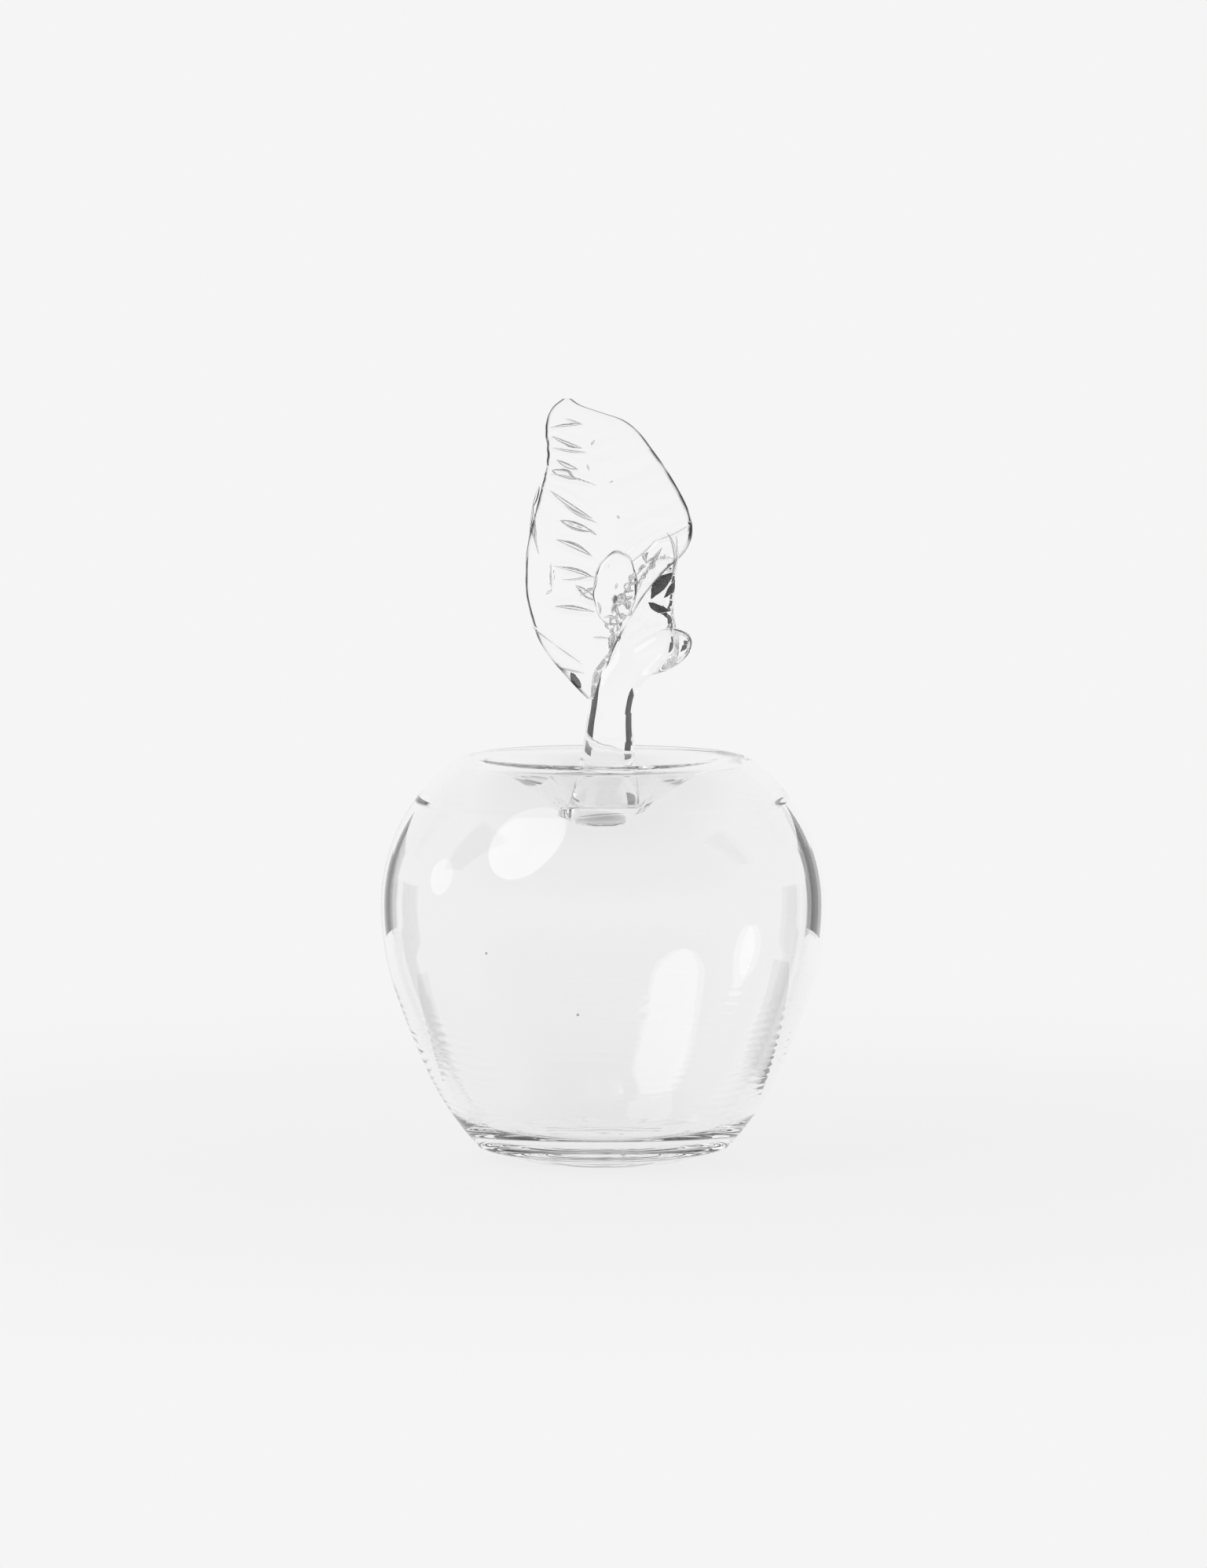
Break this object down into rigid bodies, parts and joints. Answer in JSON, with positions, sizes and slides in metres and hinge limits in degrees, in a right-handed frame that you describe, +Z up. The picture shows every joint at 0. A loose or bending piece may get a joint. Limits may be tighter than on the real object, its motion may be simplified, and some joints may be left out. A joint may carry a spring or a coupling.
{
  "type": "art glass apple",
  "caption": "Clear hand-blown glass apple with a drawn stem, a pressed leaf and a small weld bit, made as a free-standing ornament or paperweight.",
  "frame": {"origin": "middle of the ground foot's ring, on the surface the apple stands on", "axes": "+Z up along the apple's axis, -Y out of the leaf's front face, +X to the side that the stem bends to"},
  "size_m": [0.1002, 0.1002, 0.1712],
  "materials": {
    "body_glass": "clear, fire-polished",
    "stem_glass": "clear, fire-polished",
    "leaf_glass": "clear, pressed",
    "bit_glass": "clear, fire-polished"
  },
  "bodies": {
    "root": {"apple_body": "body_glass", "stem": "stem_glass", "leaf": "leaf_glass", "leaf_weld_bit": "bit_glass"}
  },
  "joints": []
}
